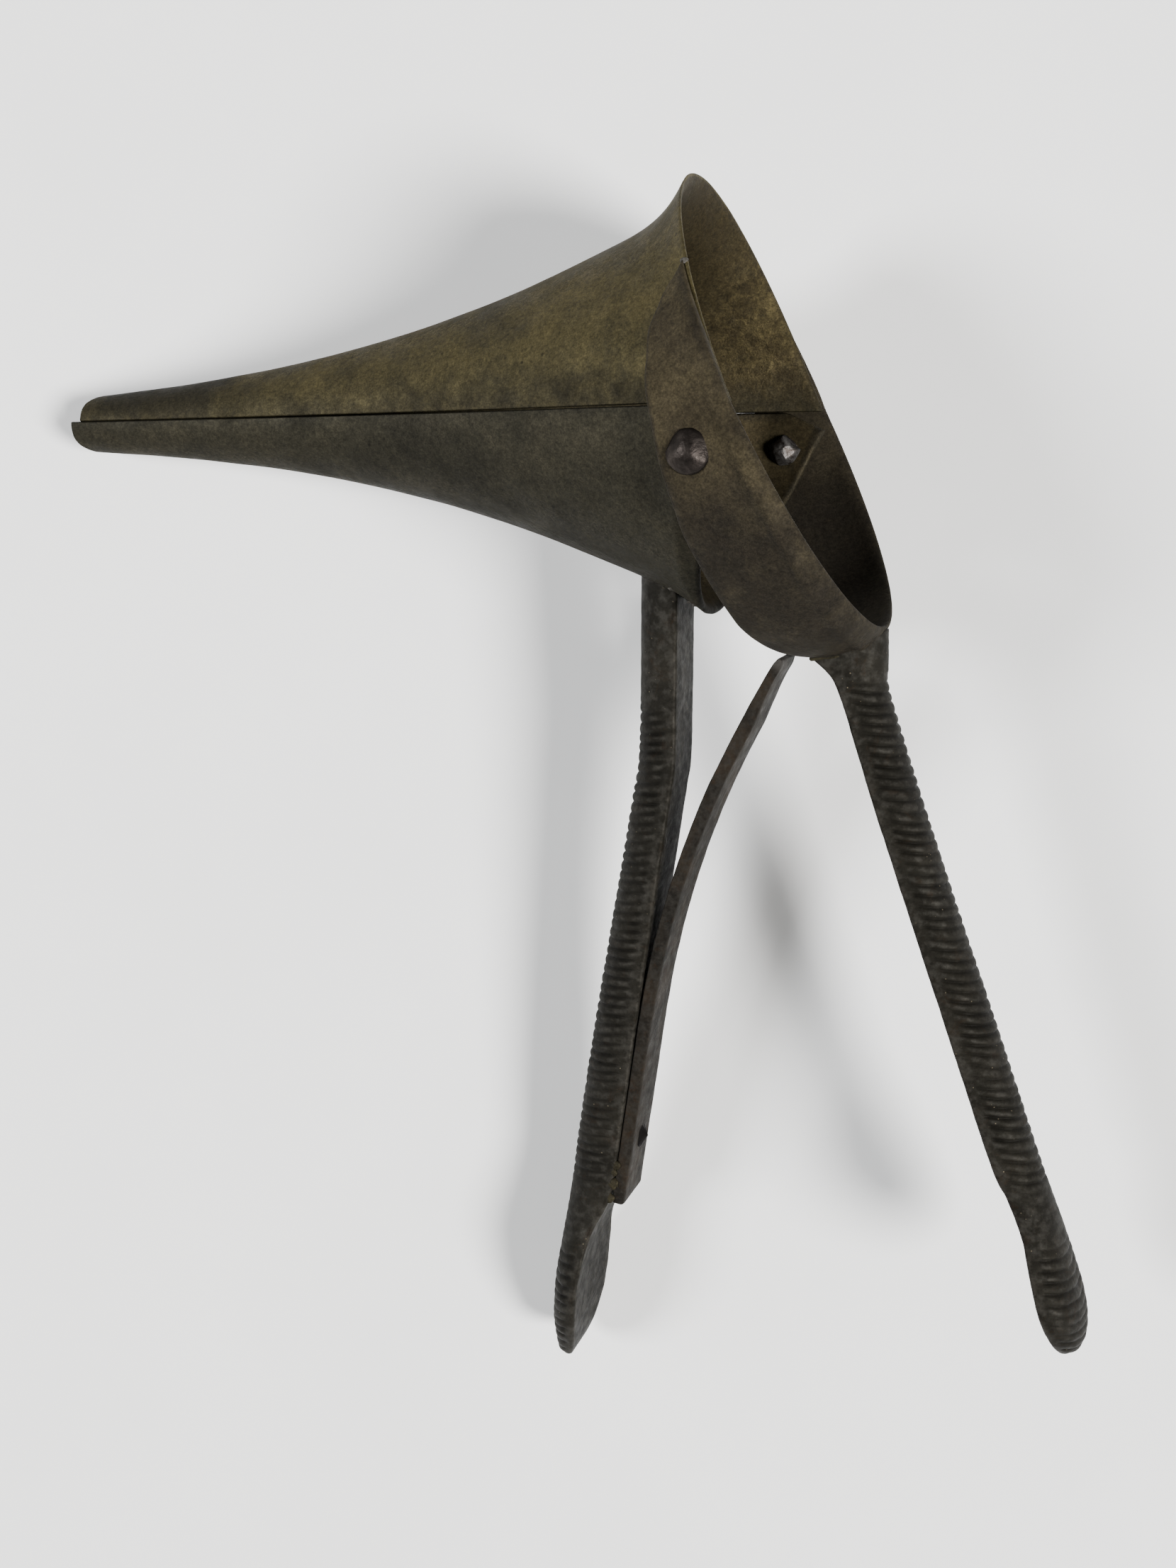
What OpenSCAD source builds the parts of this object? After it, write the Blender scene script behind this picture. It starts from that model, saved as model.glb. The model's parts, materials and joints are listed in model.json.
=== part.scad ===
// Bivalve ear speculum (hand otoscope): a split ear funnel that opens when its two handles are squeezed.
// Millimetres. The parts are drawn about the hinge: the hinge line is Y, the funnel's tip points to -X and
// the handles hang to -Z. lay() then lays the whole instrument on its side, as it rests on a table.

/* [Funnel] */
// Length of the lower valve from the hinge line to its tip
funnel_length = 78.5; // [70:0.5:90]
// How much shorter the upper valve is at the tip
upper_valve_setback = 1.2; // [0:0.1:3]
// Outer radius at the tip
tip_r = 3.0; // [2.4:0.1:4]
// Radius that the straight taper adds between the tip and the bell
taper = 4.1; // [3:0.1:6]
// Radius that the trumpet curve adds between the tip and the bell
bell = 7.25; // [5:0.05:9]
// Sharpness of the trumpet curve
bell_power = 2.6; // [2:0.1:4]
// Distance from the hinge line forward to where the bell starts
bell_start = 18; // [14:0.5:22]
// Outer radius of the mouth at the sides
mouth_r = 21.6; // [20.5:0.1:23]
// How much further the mouth flares at the top
mouth_flare = 1; // [0:0.1:2]
// Thickness of the valves' sheet
sheet_t = 1.0; // [0.8:0.1:1.4]
// Gap between the closed valves
valve_gap = 0.24; // [0.1:0.02:0.6]

/* [Yoke] */
// Thickness of the yoke's strap
strap_t = 1.25; // [1:0.05:1.6]
// Inner radius of the strap where the lower valve turns in it
strap_inner_r = 20.55; // [20.4:0.05:21]

/* [Rivets] */
// Radius of a pivot rivet's shank
pivot_r = 1.3; // [1:0.05:1.6]
// Radial clearance of the lower valve on the pivot rivets
pivot_clearance = 0.06; // [0.03:0.01:0.1]
// Radius of a pivot rivet's domed head
pivot_head_r = 2.15; // [1.8:0.05:2.6]
// Radius of a pivot rivet's hammered inner end
pivot_tail_r = 1.85; // [1.6:0.05:2.2]
// Radius of the spring rivet's shank
spring_rivet_r = 0.9; // [0.6:0.05:1.1]

/* [Handles] */
// Half width of the handles' grip
grip_half_w = 3.6; // [3:0.1:4.2]
// Half width of the handles' leaf-shaped ends
leaf_half_w = 6.2; // [5:0.1:7]

/* [Spring] */
// Width of the leaf spring
spring_w = 6.6; // [5:0.1:7]
// Thickness of the leaf spring
spring_t = 1.0; // [0.7:0.05:1.2]

/* [Lie] */
// Slope of the funnel down towards its tip as the instrument lies on its side
tip_slope = 14.38; // [10:0.01:20]
// Slope of the handles down towards their ends as it lies on its side
handle_slope = 7.41; // [4:0.01:12]

/* [Hidden] */

// Where the hinge's centre stands when the instrument lies with its box centred over the origin.
hinge_at = [18.66, 37.07, 22.02];

// The funnel's centre line and the plane between the valves rise a little towards the mouth.
axis_at_hinge = 4.6;
axis_rise = 0.0205;
split_at_hinge = 4.25;
split_rise = 0.012;
bell_r = tip_r + taper + bell;
bell_slope = (taper + bell * bell_power) / (funnel_length - bell_start);
lip_power = 5.5;

// Where the hinge line crosses the plane between the two sides.
hinge_x = -0.7;

// Mouth line: how far back the mouth reaches at the sides, and how the edges lean from there.
mouth_x = 3.2;
top_lean = 8.8;
ring_lean = 11.1;
lower_mouth_x = 3.8;
lower_lean = 7.2;
tip_rounding = 1.9;

// The lower valve's cheeks, where it turns inside the strap.
cheek_r = strap_inner_r - 0.5;
lower_lip_r = 21.2;
valve_cheek_y = 19.6;
strap_cheek_y = 20;
cheek_flat = 2.5;
cheek_fade = 4.3;
spot_face_r = 2.4;
travel = 25;

// How far the bottom of the ring swells outward ahead of its rim.
ring_swell = 1.7;

// The strap's front edge, as [angle above the hinge side of the ring, x].
strap_front = [
    [-90, 5], [-64, 1.2], [-31, -2.4], [-8, -4.1], [8, -5.2], [18, -5.3], [27, -4.3], [35, -2.3]];
strap_end = 35;

// Grip stations of the handles, from root to end: [height, flat face's x, depth, half width].
front_stations = [
    [-24, -6.6, 4.7, grip_half_w], [-32, -6.7, 4.8, grip_half_w], [-36, -7.2, 4.95, grip_half_w],
    [-45, -8.5, 5.1, grip_half_w], [-60, -10.6, 5.5, grip_half_w], [-74, -12.5, 5.7, grip_half_w],
    [-81, -13.6, 5.5, grip_half_w], [-86, -15.7, 4.1, 0.75 * leaf_half_w], [-91, -16.6, 3.9, leaf_half_w],
    [-96, -17.1, 3.8, 0.94 * leaf_half_w], [-99.3, -17.7, 3.1, 0.7 * leaf_half_w],
    [-101.2, -18.2, 2.0, 0.42 * leaf_half_w], [-101.9, -18.8, 0.7, 0.15 * leaf_half_w]];
rear_stations = [
    [-21.5, 8.8, 5.8, grip_half_w], [-24, 10.3, 4.6, grip_half_w], [-34.5, 13.85, 4.6, grip_half_w],
    [-45.5, 17.75, 4.65, grip_half_w], [-56.6, 21.75, 4.75, grip_half_w], [-71.5, 27.15, 4.75, grip_half_w],
    [-75.2, 29.1, 4.2, 0.62 * leaf_half_w], [-79, 30.8, 3.95, 0.76 * leaf_half_w],
    [-83, 31.9, 4.3, 0.94 * leaf_half_w], [-86.7, 33.0, 4.3, leaf_half_w],
    [-89.5, 34.1, 3.5, 0.8 * leaf_half_w], [-91.3, 35.0, 2.0, 0.45 * leaf_half_w],
    [-92, 35.6, 0.8, 0.15 * leaf_half_w]];
root_embed = 0.35;

// Middle line of the leaf spring, from its end under the yoke down to its end on the front handle: [x, z].
spring_line = [[4.2, -20.6], [0.3, -27.9], [-3.3, -35.6], [-6.2, -43.6], [-8.4, -51.6],
               [-9.95, -59.9], [-11.15, -68.3], [-13.05, -81.8]];
spring_rivet_up = 7.4;

// How finely the bent sheets are drawn.
valve_rows = 28;
valve_columns = 36;
strap_rows = 60;
strap_columns = 6;

function lerp(a, b, t) = a + (b - a) * t;
function ease(t) = let (c = min(1, max(0, t))) c * c * (3 - 2 * c);

// Smooth curve through a list of points, with t from 0 at the first to 1 at the last.
function curve(points, t) =
    let (last = len(points) - 1, s = min(t, 0.999999) * last, i = floor(s), u = s - i,
         a = points[max(i - 1, 0)], b = points[i], c = points[i + 1], d = points[min(i + 2, last)])
    0.5 * (2 * b + (c - a) * u + (2 * a - 5 * b + 4 * c - d) * u * u + (3 * b - a - 3 * c + d) * u * u * u);

// Value of a smooth curve of [key, value] points at a key.
function at_key(points, key) =
    let (i = max([for (k = [0 : len(points) - 2]) points[k][0] <= key ? k : 0]),
         a = points[i], b = points[i + 1], t = (key - a[0]) / (b[0] - a[0]))
    lerp(a[1], b[1], lerp(t, ease(t), 0.35));

function axis_z(x) = axis_at_hinge + axis_rise * x;
function split_z(x) = split_at_hinge + split_rise * x;

// Outer radius of the funnel ahead of the bell.
function stem_r(x) =
    let (t = max(0, (x + funnel_length) / (funnel_length - bell_start)))
    tip_r + taper * t + bell * pow(t, bell_power);

// Outer radius of a bell that ends at edge_x with radius edge_r.
function bell_edge_r(x, edge_x, edge_r) =
    let (run = edge_x + bell_start, d = x + bell_start)
    x <= -bell_start ? stem_r(x)
    : bell_r + bell_slope * d + (edge_r - bell_r - bell_slope * run) * pow(d / run, lip_power);

// Edges of the mouth against the angle above the side of the funnel.
function upper_edge_x(angle) = mouth_x - top_lean * sin(angle);
function ring_edge_x(angle) = mouth_x - ring_lean * sin(angle);
function lower_edge_x(angle) = lower_mouth_x + lower_lean * sin(angle);

function upper_r(x, angle) = bell_edge_r(x, upper_edge_x(angle), mouth_r + mouth_flare * pow(sin(angle), 2));
function lower_cap(angle) = lerp(cheek_r, lower_lip_r, ease((-angle - 50) / 40));
function lower_r(x, angle) = min(bell_edge_r(x, lower_edge_x(angle), lower_lip_r), lower_cap(angle));
function strap_r(x, angle) =
    let (on_valve = upper_r(x, angle) + 0.03,
         back = ring_edge_x(angle),
         swell = ring_swell * ease((-angle - 25) / 55) * (1 - pow(max(0, (x - 5) / (back - 5)), 2)),
         free = max(strap_inner_r, bell_edge_r(x, back, mouth_r)) + swell)
    angle >= 12 ? on_valve : lerp(on_valve, free, ease((12 - angle) / 14));

// A point at radius r and an angle above the side of the funnel; side is -1 near and 1 far.
function around(x, r, angle, side) = [x, side * r * cos(angle), axis_z(x) + r * sin(angle)];

// Flattens the sheet round the hinge to y, so that it lies square to the rivets.
function cheek(p, y) =
    let (w = ease((cheek_fade - norm([p[0] - hinge_x, p[2]])) / (cheek_fade - cheek_flat)))
    [p[0], lerp(p[1], sign(p[1]) * y, w), p[2]];

// Triangles over a grid of rows by columns whose first point is number start.
function grid_faces(rows, columns, start, flip) =
    [for (i = [0 : rows - 2], j = [0 : columns - 2])
        let (a = start + i * columns + j, b = a + 1, c = a + columns, d = c + 1)
        each flip ? [[a, d, b], [a, c, d]] : [[a, b, d], [a, d, c]]];

// Triangles between two strings of points.
function ribbon_faces(p, q) =
    [for (k = [0 : len(p) - 2]) each [[p[k], q[k + 1], p[k + 1]], [p[k], q[k], q[k + 1]]]];

// Bent sheet between two grids of points.
module bent_sheet(outer, inner) {
    rows = len(outer);
    columns = len(outer[0]);
    count = rows * columns;
    first_row = [for (j = [0 : columns - 1]) j];
    last_row = [for (j = [0 : columns - 1]) (rows - 1) * columns + j];
    first_column = [for (i = [0 : rows - 1]) i * columns];
    last_column = [for (i = [0 : rows - 1]) i * columns + columns - 1];
    below = [for (j = first_row) j + count];
    polyhedron(
        points = concat([for (row = outer) each row], [for (row = inner) each row]),
        faces = concat(
            grid_faces(rows, columns, 0, false),
            grid_faces(rows, columns, count, true),
            ribbon_faces(first_row, below),
            ribbon_faces([for (k = last_row) k + count], last_row),
            ribbon_faces([for (k = first_column) k + count], first_column),
            ribbon_faces(last_column, [for (k = last_column) k + count])),
        convexity = 8);
}

// Bar through a list of closed sections that all have the same number of points.
module bar(sections) {
    n = len(sections[0]);
    rows = len(sections);
    ends = [
        for (s = [sections[0], sections[rows - 1]])
            [for (k = [0 : 2]) [for (p = s) p[k]] * [for (p = s) 1 / n]]];
    polyhedron(
        points = concat([for (s = sections) each s], ends),
        faces = concat(
            [for (i = [0 : rows - 2], j = [0 : n - 1])
                let (a = i * n + j, b = i * n + (j + 1) % n, c = a + n, d = b + n)
                each [[a, b, d], [a, d, c]]],
            [for (j = [0 : n - 1]) [rows * n, (j + 1) % n, j]],
            [for (j = [0 : n - 1]) [rows * n + 1, (rows - 1) * n + j, (rows - 1) * n + (j + 1) % n]]),
        convexity = 8);
}

// D-shaped section of a handle: its flat face towards the other handle, its round side outward
// (outward is -1 on the front handle and 1 on the rear one).
function handle_section(z, flat_x, depth, half_w, outward) =
    let (loop = [for (k = [0 : 14]) let (a = -90 + k * 180 / 14)
                 [flat_x + outward * depth * pow(cos(a), 0.8), half_w * sin(a), z]])
    outward > 0 ? loop : [for (k = [14 : -1 : 0]) loop[k]];

function handle_sections(stations, outward, steps) =
    [for (k = [0 : steps])
        let (s = curve(stations, k / steps)) handle_section(s[0], s[1], s[2], s[3], outward)];

// Top section of a handle, which follows the sheet that it is brazed to, where sheet_r(x) is that sheet's
// outer radius.
function root_section(section, sheet_r) =
    [for (p = section) [p[0], p[1], axis_z(p[0]) - sqrt(pow(sheet_r(p[0]), 2) - p[1] * p[1]) + root_embed]];

module lay() {
    translate(hinge_at)
    rotate([handle_slope, -tip_slope, 0])
    rotate([-90, 0, 0])
    children();
}

module along_hinge(from, r, length, side) {
    translate([hinge_x, side * from, 0])
    rotate([side * -90, 0, 0])
    cylinder(h = length, r = r, $fn = 48);
}

// Rows crowd towards the mouth, where the sheet curves most.
function row_share(i) = 1 - pow(1 - i / valve_rows, 1.7);

function upper_point(i, j, inset) =
    let (u = 2 * j / valve_columns - 1,
         nominal = 90 - abs(u) * 90,
         tip_x = -funnel_length + upper_valve_setback + tip_rounding * pow(sin(nominal), 2),
         x = lerp(tip_x, upper_edge_x(nominal), row_share(i)),
         low = asin((split_z(x) + valve_gap / 2 - axis_z(x)) / (upper_r(x, 0) - inset)),
         angle = 90 - abs(u) * (90 - low))
    around(x, upper_r(x, max(angle, 0)) - inset, angle, u < 0 ? -1 : 1);

module upper_valve() {
    color("darkkhaki") lay() bent_sheet(
        [for (i = [0 : valve_rows]) [for (j = [0 : valve_columns]) upper_point(i, j, 0)]],
        [for (i = [0 : valve_rows]) [for (j = [0 : valve_columns]) upper_point(i, j, sheet_t)]]);
}

// Top edge of the lower valve: it slopes down behind the hinge, to clear the upper valve as it turns.
function lower_top_z(x) =
    min(split_z(x) - valve_gap / 2, split_at_hinge - 0.1 - tan(travel) * (x - hinge_x - 0.4));

function lower_point(i, j, inset) =
    let (u = 2 * j / valve_columns - 1,
         nominal = -90 + abs(u) * 90,
         tip_x = -funnel_length + tip_rounding * pow(sin(nominal), 2),
         x = lerp(tip_x, lower_edge_x(nominal), row_share(i)),
         top = asin((lower_top_z(x) - axis_z(x)) / (lower_r(x, 0) - inset)),
         angle = -90 + abs(u) * (90 + top))
    cheek(around(x, lower_r(x, min(angle, 0)) - inset, angle, u < 0 ? -1 : 1), valve_cheek_y - inset);

module lower_valve() {
    color("olive") lay() difference() {
        bent_sheet(
            [for (i = [0 : valve_rows]) [for (j = [valve_columns : -1 : 0]) lower_point(i, j, 0)]],
            [for (i = [0 : valve_rows]) [for (j = [valve_columns : -1 : 0]) lower_point(i, j, sheet_t)]]);
        for (side = [-1, 1]) {
            along_hinge(valve_cheek_y - 4, pivot_r + pivot_clearance, 6, side);
            along_hinge(valve_cheek_y - 4, spot_face_r, 4 - sheet_t, side);
        }
    }
}

function strap_point(i, j, inset) =
    let (turn = lerp(-90 - strap_end, 90 + strap_end, i / strap_rows),
         angle = abs(turn) - 90,
         front = at_key(strap_front, angle),
         back = angle > 0 ? upper_edge_x(angle) : ring_edge_x(angle),
         x = lerp(front, back, j / strap_columns))
    cheek(
        around(x, strap_r(x, angle) + strap_t - inset, angle, turn < 0 ? -1 : 1),
        strap_cheek_y + strap_t - inset);

module yoke() {
    color("peru") lay() difference() {
        bent_sheet(
            [for (i = [0 : strap_rows]) [for (j = [0 : strap_columns]) strap_point(i, j, 0)]],
            [for (i = [0 : strap_rows]) [for (j = [0 : strap_columns]) strap_point(i, j, strap_t)]]);
        for (side = [-1, 1]) along_hinge(strap_cheek_y - 2, pivot_r, 6, side);
    }
}

module front_handle() {
    sections = handle_sections(front_stations, -1, 36);
    top = root_section(sections[0], function(x) lower_r(x, -90));
    color("dimgray") lay() difference() {
        bar(concat([top], sections));
        spring_rivet_bore();
    }
}

module rear_handle() {
    sections = handle_sections(rear_stations, 1, 36);
    root = handle_section(0, 6.9, 7.6, grip_half_w + 0.3, 1);
    top = root_section(root, function(x) strap_r(x, -90) + strap_t);
    color("dimgray") lay() bar(concat([top], sections));
}

// Pivot rivet on one side: hammered end inside the lower valve, shank, and domed head outside the yoke.
module pivot_rivet(side) {
    inner_y = valve_cheek_y - sheet_t - 0.08;
    outer_y = strap_cheek_y + strap_t;
    color("gray") lay() {
        along_hinge(inner_y - 1.5, pivot_tail_r, 1.5, side);
        along_hinge(inner_y, pivot_r, outer_y - inner_y, side);
        translate([hinge_x, side * outer_y, 0]) rotate([side * -90, 0, 0]) dome(pivot_head_r, 1.4);
    }
}

// Domed head that stands on Z = 0.
module dome(r, height) {
    ball = (r * r + height * height) / (2 * height);
    rotate_extrude($fn = 48) intersection() {
        translate([0, height - ball]) circle(r = ball, $fn = 96);
        square([r, height]);
    }
}

module near_pivot_rivet() {
    pivot_rivet(-1);
}

module far_pivot_rivet() {
    pivot_rivet(1);
}

function spring_frame(t) =
    let (behind = curve(spring_line, max(t - 0.01, 0)), ahead = curve(spring_line, min(t + 0.01, 1)),
         d = (ahead - behind) / norm(ahead - behind))
    [curve(spring_line, t), [-d[1], d[0]]];

function spring_section(t) =
    let (f = spring_frame(t), w = spring_w / 2,
         a = f[0] + f[1] * spring_t / 2, b = f[0] - f[1] * spring_t / 2)
    [[a[0], -w, a[1]], [a[0], w, a[1]], [b[0], w, b[1]], [b[0], -w, b[1]]];

// The rivet stands square to the spring's straight lower end, in its middle plane.
module spring_rivet_axis() {
    last = len(spring_line) - 1;
    low = spring_line[last];
    rise = spring_line[last - 1] - low;
    at = low + rise * spring_rivet_up / norm(rise);
    translate([at[0], 0, at[1]]) rotate([0, atan(rise[0] / rise[1]), 0]) children();
}

module spring_rivet_bore() {
    spring_rivet_axis()
    translate([-9, 0, 0])
    rotate([0, 90, 0])
    cylinder(h = 12, r = spring_rivet_r, $fn = 48);
}

module leaf_spring() {
    color("sienna") lay() difference() {
        bar([for (k = [0 : 40]) spring_section(k / 40)]);
        spring_rivet_bore();
    }
}

module spring_rivet() {
    color("slategray") lay() spring_rivet_axis() {
        translate([-5, 0, 0]) rotate([0, 90, 0]) cylinder(h = 5 + spring_t / 2, r = spring_rivet_r, $fn = 48);
        translate([spring_t / 2, 0, 0]) rotate([0, 90, 0]) dome(1.7, 0.8);
    }
}

upper_valve();
lower_valve();
yoke();
rear_handle();
front_handle();
near_pivot_rivet();
far_pivot_rivet();
leaf_spring();
spring_rivet();
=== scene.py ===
import json
import math

import bpy
import numpy as np
from mathutils import Matrix, Vector, noise


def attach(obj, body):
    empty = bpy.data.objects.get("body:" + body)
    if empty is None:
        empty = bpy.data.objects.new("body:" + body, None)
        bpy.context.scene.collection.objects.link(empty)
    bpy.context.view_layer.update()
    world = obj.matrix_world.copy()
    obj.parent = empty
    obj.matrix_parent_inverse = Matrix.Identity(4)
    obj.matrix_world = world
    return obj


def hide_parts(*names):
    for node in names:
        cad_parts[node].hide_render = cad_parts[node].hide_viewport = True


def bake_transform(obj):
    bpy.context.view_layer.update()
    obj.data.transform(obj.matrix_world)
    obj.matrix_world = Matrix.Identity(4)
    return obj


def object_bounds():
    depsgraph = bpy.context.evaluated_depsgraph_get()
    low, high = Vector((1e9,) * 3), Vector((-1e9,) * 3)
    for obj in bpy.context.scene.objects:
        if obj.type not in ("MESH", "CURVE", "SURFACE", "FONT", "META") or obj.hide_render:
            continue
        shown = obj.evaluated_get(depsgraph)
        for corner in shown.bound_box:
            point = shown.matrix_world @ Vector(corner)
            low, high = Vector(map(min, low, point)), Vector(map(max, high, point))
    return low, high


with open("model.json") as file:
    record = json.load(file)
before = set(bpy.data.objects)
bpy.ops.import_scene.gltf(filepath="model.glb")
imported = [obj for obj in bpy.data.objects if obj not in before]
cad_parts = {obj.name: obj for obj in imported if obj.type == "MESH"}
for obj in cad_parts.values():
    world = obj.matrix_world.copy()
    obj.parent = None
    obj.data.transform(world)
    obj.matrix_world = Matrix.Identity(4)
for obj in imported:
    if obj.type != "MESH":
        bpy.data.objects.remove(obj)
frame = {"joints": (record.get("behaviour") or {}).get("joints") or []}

# The looks of a bivalve ear speculum (a hand otoscope). Shapes are worked out in the instrument's own frame,
# in millimetres: the hinge line is Y, the funnel's tip points to -X and the handles hang to -Z. place() then
# lays them where the CAD model lies, in metres.

cad_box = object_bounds()
MM = 0.001

# ---- shape values, as in the CAD model
FUNNEL_LENGTH = 78.5
UPPER_SETBACK = 1.2
TIP_R = 3.0
TAPER = 4.1
BELL = 7.25
BELL_POWER = 2.6
BELL_START = 18.0
MOUTH_R = 21.6
MOUTH_FLARE = 1.0
LIP_POWER = 5.5
SHEET_T = 1.0
AXIS_AT_HINGE, AXIS_RISE = 4.6, 0.0205
SPLIT_AT_HINGE, SPLIT_RISE = 4.25, 0.012
BELL_R = TIP_R + TAPER + BELL
BELL_SLOPE = (TAPER + BELL * BELL_POWER) / (FUNNEL_LENGTH - BELL_START)
HINGE_X = -0.7
MOUTH_X, TOP_LEAN, RING_LEAN = 3.2, 8.8, 11.1
LOWER_MOUTH_X, LOWER_LEAN = 3.8, 7.2
STRAP_T = 1.25
STRAP_INNER_R = 20.55
CHEEK_R = STRAP_INNER_R - 0.5
LOWER_LIP_R = 21.2
VALVE_CHEEK_Y, STRAP_CHEEK_Y = 19.6, 20.0
TRAVEL = 25.0
# The strap's front edge: the angle round the funnel, and x.
STRAP_FRONT = ((-90, 5.0), (-64, 1.2), (-31, -2.4), (-8, -4.1), (8, -5.2), (18, -5.3), (27, -4.3),
               (35, -2.3))
STRAP_END = 35.0
PIVOT_R = 1.3
GRIP_W, LEAF_W = 3.6, 6.2
SPRING_W, SPRING_T = 6.6, 1.0
SPRING_RIVET_UP = 7.4

# Stations of the handles, from root to end: height, flat face's x, depth, half width. The last two of each
# are a little fuller than the CAD model's.
FRONT_STATIONS = (
    (-24, -6.6, 4.7, GRIP_W), (-32, -6.7, 4.8, GRIP_W), (-36, -7.2, 4.95, GRIP_W), (-45, -8.5, 5.1, GRIP_W),
    (-60, -10.6, 5.5, GRIP_W), (-74, -12.5, 5.7, GRIP_W), (-81, -13.6, 5.5, GRIP_W),
    (-86, -15.7, 4.1, 0.75 * LEAF_W), (-91, -16.6, 3.9, LEAF_W), (-96, -17.1, 3.8, 0.94 * LEAF_W),
    (-99.3, -17.7, 3.1, 0.7 * LEAF_W), (-101.2, -18.4, 2.2, 0.47 * LEAF_W),
    (-101.9, -18.9, 1.0, 0.24 * LEAF_W))
REAR_STATIONS = (
    (-21.5, 8.8, 5.8, GRIP_W), (-24, 10.3, 4.6, GRIP_W), (-34.5, 13.85, 4.6, GRIP_W),
    (-45.5, 17.75, 4.65, GRIP_W), (-56.6, 21.75, 4.75, GRIP_W), (-71.5, 27.15, 4.75, GRIP_W),
    (-75.2, 29.1, 4.2, 0.62 * LEAF_W), (-79, 30.8, 3.95, 0.76 * LEAF_W), (-83, 31.9, 4.3, 0.94 * LEAF_W),
    (-86.7, 33.0, 4.3, LEAF_W), (-89.5, 34.1, 3.5, 0.8 * LEAF_W), (-91.3, 34.9, 2.2, 0.5 * LEAF_W),
    (-92, 35.4, 1.0, 0.24 * LEAF_W))
REAR_ROOT = (0, 6.9, 7.6, GRIP_W + 0.3)
ROOT_EMBED = 0.35
SPRING_LINE = ((4.2, -20.6), (0.3, -27.9), (-3.3, -35.6), (-6.2, -43.6), (-8.4, -51.6), (-9.95, -59.9),
               (-11.15, -68.3), (-13.05, -81.8))

# ---- values unlike the CAD model's, and details that only the looks have
VALVE_GAP = 0.12
CHEEK_FLAT, CHEEK_FADE, CHEEK_SHARE = 1.6, 6.0, 0.6
TIP_ROUNDING = 1.3
RING_SWELL = 1.45
PIVOT_HEAD_R = PIVOT_TAIL_R = 2.1
SPRING_EXTRA = 0.5
VALVE_EDGE, SPLIT_EDGE = 0.42, 0.14
GAP_SHUT_X, GAP_RUN = -74, 40
TIP_ROUNDING_POWER = 6
PATCH_X, PATCH_ANGLE = -2.6, 30.0
PATCH_HALF_X, PATCH_HALF_ANGLE = 6.5, 26.0
STRAP_EDGE, RING_EDGE = 0.45, 1.5
RING_LIP, RING_LIP_FROM_BACK, RING_LIP_WIDTH = 0.42, 1.7, 0.6
RIM_SHOWS = 0.5
STRAP_THIN = 0.45
HANDLE_CORNER = 0.42
# Marks the points on a handle's flat face, in place of a share of the round side.
ON_FLAT = 9.0
RIB_PITCH = 1.08
RIB_DEPTH = 0.27
RIB_BOW = 0.55
# Heights where a handle's ribs start, fade at its waist and come back on its leaf, and how far they fade.
FRONT_RIBS = (-25.5, -79, -88.5, 0.8)
REAR_RIBS = (-22, -73, -81, 0.85)
BEAD_INSET, BEAD_R = 0.5, 0.2
RIVET_TAIL_H, RIVET_HEAD_H = 1.5, 1.4
SPRING_LENGTH, SPRING_END_R = 68.0, 0.4
SPRING_CORNER_POWER = 0.16
SPRING_RIVET_HEAD_R, SPRING_RIVET_HEAD_H = 1.5, 0.75
# Shares of an edge's rounding at which a grid has lines, crowded towards the edge.
EDGE_STEPS = np.array([0, 0.03, 0.12, 0.28, 0.5, 0.75, 1.0])
# How far in from an edge the metal is worn.
EDGE_WEAR = 0.7

LAMP_SPREAD = math.radians(19)
HORIZON, CEILING, CEILING_FROM = 1.15, 0.06, 0.35
FLOOR_HALF = 3.0

# ---- placing
PIVOT = frame["joints"][0]
PIVOT_AXIS = PIVOT["axis"]
HANDLE_SLOPE = math.asin(PIVOT_AXIS[1])
TIP_SLOPE = math.atan2(PIVOT_AXIS[0], -PIVOT_AXIS[2])


def turn_x(angle):
    c, s = math.cos(angle), math.sin(angle)
    return np.array([[1, 0, 0], [0, c, -s], [0, s, c]])


def turn_y(angle):
    c, s = math.cos(angle), math.sin(angle)
    return np.array([[c, 0, s], [0, 1, 0], [-s, 0, c]])


LAY = turn_y(-TIP_SLOPE) @ turn_x(HANDLE_SLOPE) @ turn_x(-math.pi / 2)
HINGE_AT = np.array(PIVOT["pos_m"]) / MM - LAY @ np.array([HINGE_X, 0, 0])


def place(points):
    """Points of the instrument, in millimetres, as points of the row frame, in metres."""
    return (np.asarray(points, float) @ LAY.T + HINGE_AT) * MM


# ---- arithmetic of the shapes
def lerp(a, b, t):
    return a + (b - a) * t


def ease(t):
    c = np.clip(t, 0, 1)
    return c * c * (3 - 2 * c)


def sin_d(angle):
    return np.sin(np.radians(angle))


def cos_d(angle):
    return np.cos(np.radians(angle))


def curve(points, t):
    """Catmull-Rom curve through the points, with t from 0 at the first to 1 at the last."""
    p = np.asarray(points, float)
    last = len(p) - 1
    s = np.minimum(np.asarray(t, float), 0.999999) * last
    i = np.floor(s).astype(int)
    u = (s - i)[:, None]
    a, b, c, d = p[np.maximum(i - 1, 0)], p[i], p[i + 1], p[np.minimum(i + 2, last)]
    square = 2 * a - 5 * b + 4 * c - d
    cube = 3 * b - a - 3 * c + d
    return 0.5 * (2 * b + (c - a) * u + square * u ** 2 + cube * u ** 3)


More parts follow.
